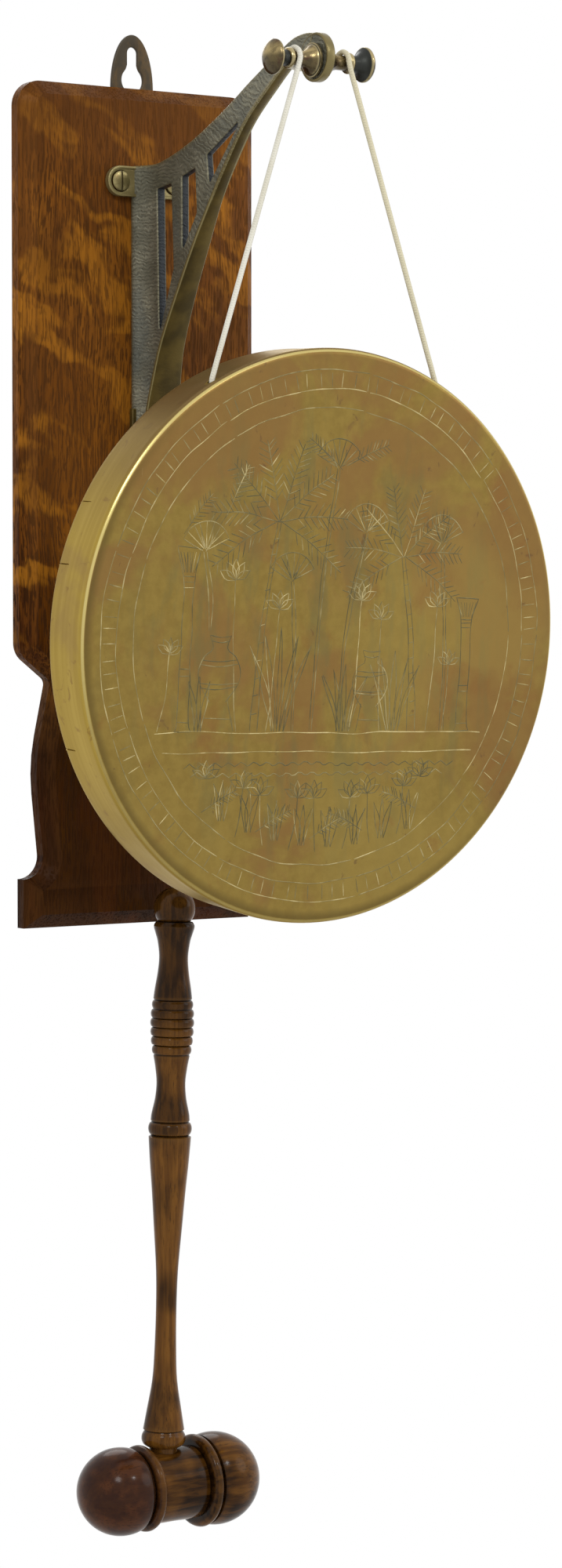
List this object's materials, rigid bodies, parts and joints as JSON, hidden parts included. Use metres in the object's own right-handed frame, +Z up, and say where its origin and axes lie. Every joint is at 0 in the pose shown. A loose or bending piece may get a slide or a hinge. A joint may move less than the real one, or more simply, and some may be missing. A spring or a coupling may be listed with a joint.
{
  "type": "wall gong",
  "caption": "Wall-hung dinner gong: oak board with an openwork cast bracket, a round gong dish on a cord over a brass spool, and a turned mallet on a hook.",
  "frame": {"origin": "on the wall's face, at the axis of the wall screw's shank where it rests in the top of the keyhole slot", "axes": "+X to the viewer's right, +Y into the wall, +Z up"},
  "size_m": [0.2544, 0.1651, 0.7029],
  "materials": {
    "oak": "polished reddish-brown oak",
    "mallet_wood": "polished dark brown turned wood",
    "bracket_bronze": "hammered, grey-green patina",
    "spool_brass": "turned and tarnished",
    "screw_brass": "worn bright",
    "hanger_bronze": "dark patina",
    "gong_bronze": "satin, olive-gold patina",
    "cord_cotton": "twisted cotton"
  },
  "bodies": {
    "board": {"backboard": "oak", "hanger_plate": "hanger_bronze", "hanger_screw_upper": "screw_brass", "hanger_screw_lower": "screw_brass", "bracket": "bracket_bronze", "bracket_screw_left": "screw_brass", "bracket_screw_right": "screw_brass", "bracket_screw_tail": "screw_brass", "spool_stud": "screw_brass", "spool_left": "spool_brass", "spool_right": "spool_brass", "mallet_hook": "screw_brass", "cord_bridge": "cord_cotton"},
    "gong": {"gong_dish": "gong_bronze", "cord_left": "cord_cotton", "cord_right": "cord_cotton", "cord_knot_left": "cord_cotton", "cord_knot_right": "cord_cotton"},
    "ring": {"hanging_ring": "screw_brass"},
    "mallet": {"mallet_screw_eye": "screw_brass", "mallet_handle": "mallet_wood", "mallet_head": "mallet_wood"}
  },
  "joints": [
    {"name": "gong_swing", "type": "hinge", "parent": "board", "child": "gong", "pos_m": [0, -0.153, -0.0204], "axis": [1, 0, 0], "range_deg": [-35, 6], "deforming": ["cord_bridge"]},
    {"name": "mallet_lift", "type": "slide", "parent": "board", "child": "ring", "axis": [0, -0.8192, 0.5736], "range_m": [0, 0.02]},
    {"name": "mallet_swing", "type": "hinge", "parent": "ring", "child": "mallet", "pos_m": [0.0039, -0.032, -0.38265], "axis": [1, 0, 0], "range_deg": [-20, 2]}
  ]
}
